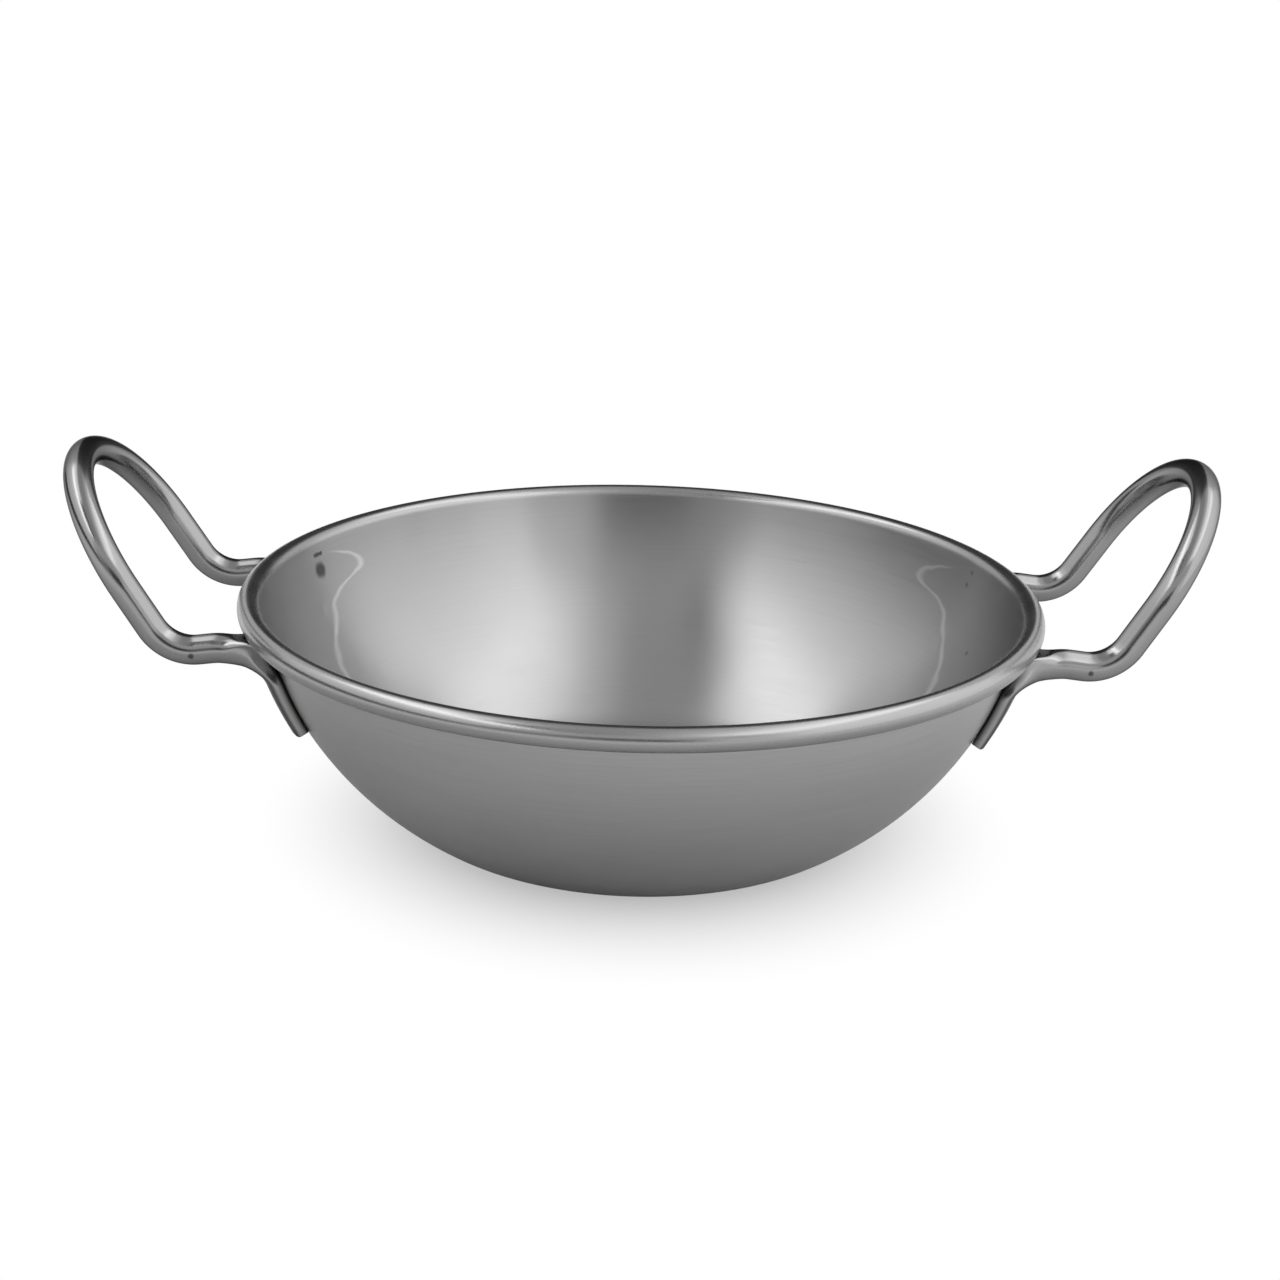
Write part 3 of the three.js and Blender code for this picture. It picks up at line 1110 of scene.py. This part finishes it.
def mirrored_rays(tree, path):
    """Mask of the rays that come by way of metal or glass."""
    both = add_node(
        tree,
        "ShaderNodeMath",
        {"operation": "MAXIMUM"},
        links={0: path.outputs["Is Glossy Ray"], 1: path.outputs["Is Transmission Ray"]},
    )
    return both.outputs[0]


def make_floor(pale):
    """A wide plain floor, white to the camera and in the steel, which keeps the dish's shadow."""
    # Board painted matt: an even pale surface without gloss
    material, tree = new_material("floor_matt_paint")
    path = add_node(tree, "ShaderNodeLightPath")
    place = add_node(tree, "ShaderNodeTexCoord")
    shares = []
    for ray, (centre, start, end, white) in (
        (path.outputs["Is Camera Ray"], CAMERA_SHADOW),
        (mirrored_rays(tree, path), STEEL_SHADOW),
    ):
        away = add_node(
            tree,
            "ShaderNodeVectorMath",
            {"operation": "DISTANCE"},
            {1: (centre * MM, 0, 0)},
            {0: place.outputs["Object"]},
        )
        lift = add_node(
            tree,
            "ShaderNodeMapRange",
            SMOOTH,
            {"From Min": start * MM, "From Max": end * MM, "To Min": white, "To Max": 1.0},
            {"Value": away.outputs["Value"]},
        )
        shares.append(
            add_node(
                tree, "ShaderNodeMath", {"operation": "MULTIPLY"}, links={0: ray, 1: lift.outputs["Result"]}
            )
        )
    share = add_node(
        tree,
        "ShaderNodeMath",
        {"operation": "ADD"},
        links={0: shares[0].outputs[0], 1: shares[1].outputs[0]},
    )
    paint = add_node(tree, "ShaderNodeBsdfDiffuse", inputs={"Color": (*pale, 1)})
    glow = add_node(tree, "ShaderNodeEmission", inputs={"Color": (1, 1, 1, 1), "Strength": 1.0})
    mix = add_node(
        tree,
        "ShaderNodeMixShader",
        links={0: share.outputs[0], 1: paint.outputs[0], 2: glow.outputs[0]},
    )
    add_node(tree, "ShaderNodeOutputMaterial", links={"Surface": mix.outputs[0]})
    mesh = bpy.data.meshes.new("floor")
    corners = [(x * FLOOR_REACH, y * FLOOR_REACH, 0) for x, y in ((-1, -1), (1, -1), (1, 1), (-1, 1))]
    mesh.from_pydata(corners, [], [(0, 1, 2, 3)])
    mesh.materials.append(material)
    floor = bpy.data.objects.new("floor", mesh)
    bpy.context.scene.collection.objects.link(floor)


def make_softbox(name, place, axis, width, depth, brightness):
    """A rectangular soft light of a given brightness that faces inwards along an axis."""
    lamp = bpy.data.lights.new(f"softbox_{name}", "AREA")
    lamp.shape = "RECTANGLE"
    lamp.size = width
    lamp.size_y = depth
    lamp.energy = brightness * PANEL_WATTS * width * depth
    light = bpy.data.objects.new(lamp.name, lamp)
    light.location = place
    light.visible_camera = False
    outwards = Vector((0, 0, 0))
    outwards[axis] = place[axis]
    light.rotation_euler = outwards.to_track_quat("Z", "Y").to_euler()
    bpy.context.scene.collection.objects.link(light)


def make_room(brightness):
    """Even grey light from the room round the stage, white behind the dish and along the floor's far edge."""
    world = bpy.data.worlds.new("studio_room")
    world.use_nodes = True
    tree = world.node_tree
    tree.nodes.clear()
    path = add_node(tree, "ShaderNodeLightPath")
    way = add_node(tree, "ShaderNodeTexCoord")
    height = add_node(tree, "ShaderNodeSeparateXYZ", links={"Vector": way.outputs["Generated"]})
    band = add_node(
        tree,
        "ShaderNodeMapRange",
        SMOOTH,
        {"From Min": 0.0, "From Max": HORIZON_BAND, "To Min": 1.0, "To Max": 0.0},
        {"Value": height.outputs["Z"]},
    )
    low = add_node(
        tree,
        "ShaderNodeMath",
        {"operation": "MULTIPLY"},
        links={0: mirrored_rays(tree, path), 1: band.outputs["Result"]},
    )
    seen = add_node(
        tree,
        "ShaderNodeMath",
        {"operation": "MAXIMUM"},
        links={0: path.outputs["Is Camera Ray"], 1: low.outputs[0]},
    )
    grey = add_node(tree, "ShaderNodeBackground", inputs={"Color": (1, 1, 1, 1), "Strength": brightness})
    white = add_node(tree, "ShaderNodeBackground", inputs={"Color": (1, 1, 1, 1), "Strength": 1.0})
    mix = add_node(
        tree,
        "ShaderNodeMixShader",
        links={0: seen.outputs[0], 1: grey.outputs[0], 2: white.outputs[0]},
    )
    add_node(tree, "ShaderNodeOutputWorld", links={"Surface": mix.outputs[0]})
    bpy.context.scene.world = world


def make_camera(studio):
    """The camera, at the photograph's angle."""
    back = Vector((0, -math.cos(studio.elevation), math.sin(studio.elevation)))
    place = Vector((0, 0, studio.aim_height)) + studio.distance * back
    aim = Vector((-studio.aim_left, 0, studio.aim_height - studio.aim_drop))
    turn = Matrix.Rotation(studio.azimuth, 3, UP)
    ahead = (aim - place).normalized()
    right = ahead.cross(UP).normalized()
    up = right.cross(ahead)
    tilt = Matrix.Rotation(studio.roll, 3, -ahead)
    axes = Matrix((turn @ tilt @ right, turn @ tilt @ up, turn @ -ahead)).transposed()
    data = bpy.data.cameras.new("camera")
    data.sensor_width = 36
    data.lens = studio.lens
    data.clip_start = 0.01
    camera = bpy.data.objects.new("camera", data)
    camera.matrix_world = Matrix.Translation(turn @ place) @ axes.to_4x4()
    bpy.context.scene.collection.objects.link(camera)
    return camera


class BALTI_PT_dish(bpy.types.Panel):
    """Sidebar panel with the steps that make the dish"""

    bl_idname = "BALTI_PT_dish"
    bl_label = "Balti dish"
    bl_space_type = "VIEW_3D"
    bl_region_type = "UI"
    bl_category = "Balti dish"

    def draw(self, context):
        for step in STEPS:
            self.layout.operator(step.bl_idname)


STEPS = (BALTI_OT_bowl, BALTI_OT_handles, BALTI_OT_spot_welds, BALTI_OT_stage)
GROUPS = {
    "balti_bowl": BowlSizes,
    "balti_handles": HandleSizes,
    "balti_finishes": Finishes,
    "balti_studio": Studio,
}


def register():
    """Registers the settings, the steps and the panel."""
    for name, group in GROUPS.items():
        bpy.utils.register_class(group)
        setattr(bpy.types.Scene, name, bpy.props.PointerProperty(type=group))
    for step in (*STEPS, BALTI_PT_dish):
        bpy.utils.register_class(step)


def unregister():
    """Takes the panel, the steps and the settings away again."""
    for step in (BALTI_PT_dish, *reversed(STEPS)):
        bpy.utils.unregister_class(step)
    for name, group in reversed(GROUPS.items()):
        delattr(bpy.types.Scene, name)
        bpy.utils.unregister_class(group)


def main():
    """Makes the dish and its stage."""
    register()
    bpy.ops.balti.bowl()
    bpy.ops.balti.handles()
    bpy.ops.balti.spot_welds()
    bpy.ops.balti.stage()


if __name__ == "__main__":
    main()
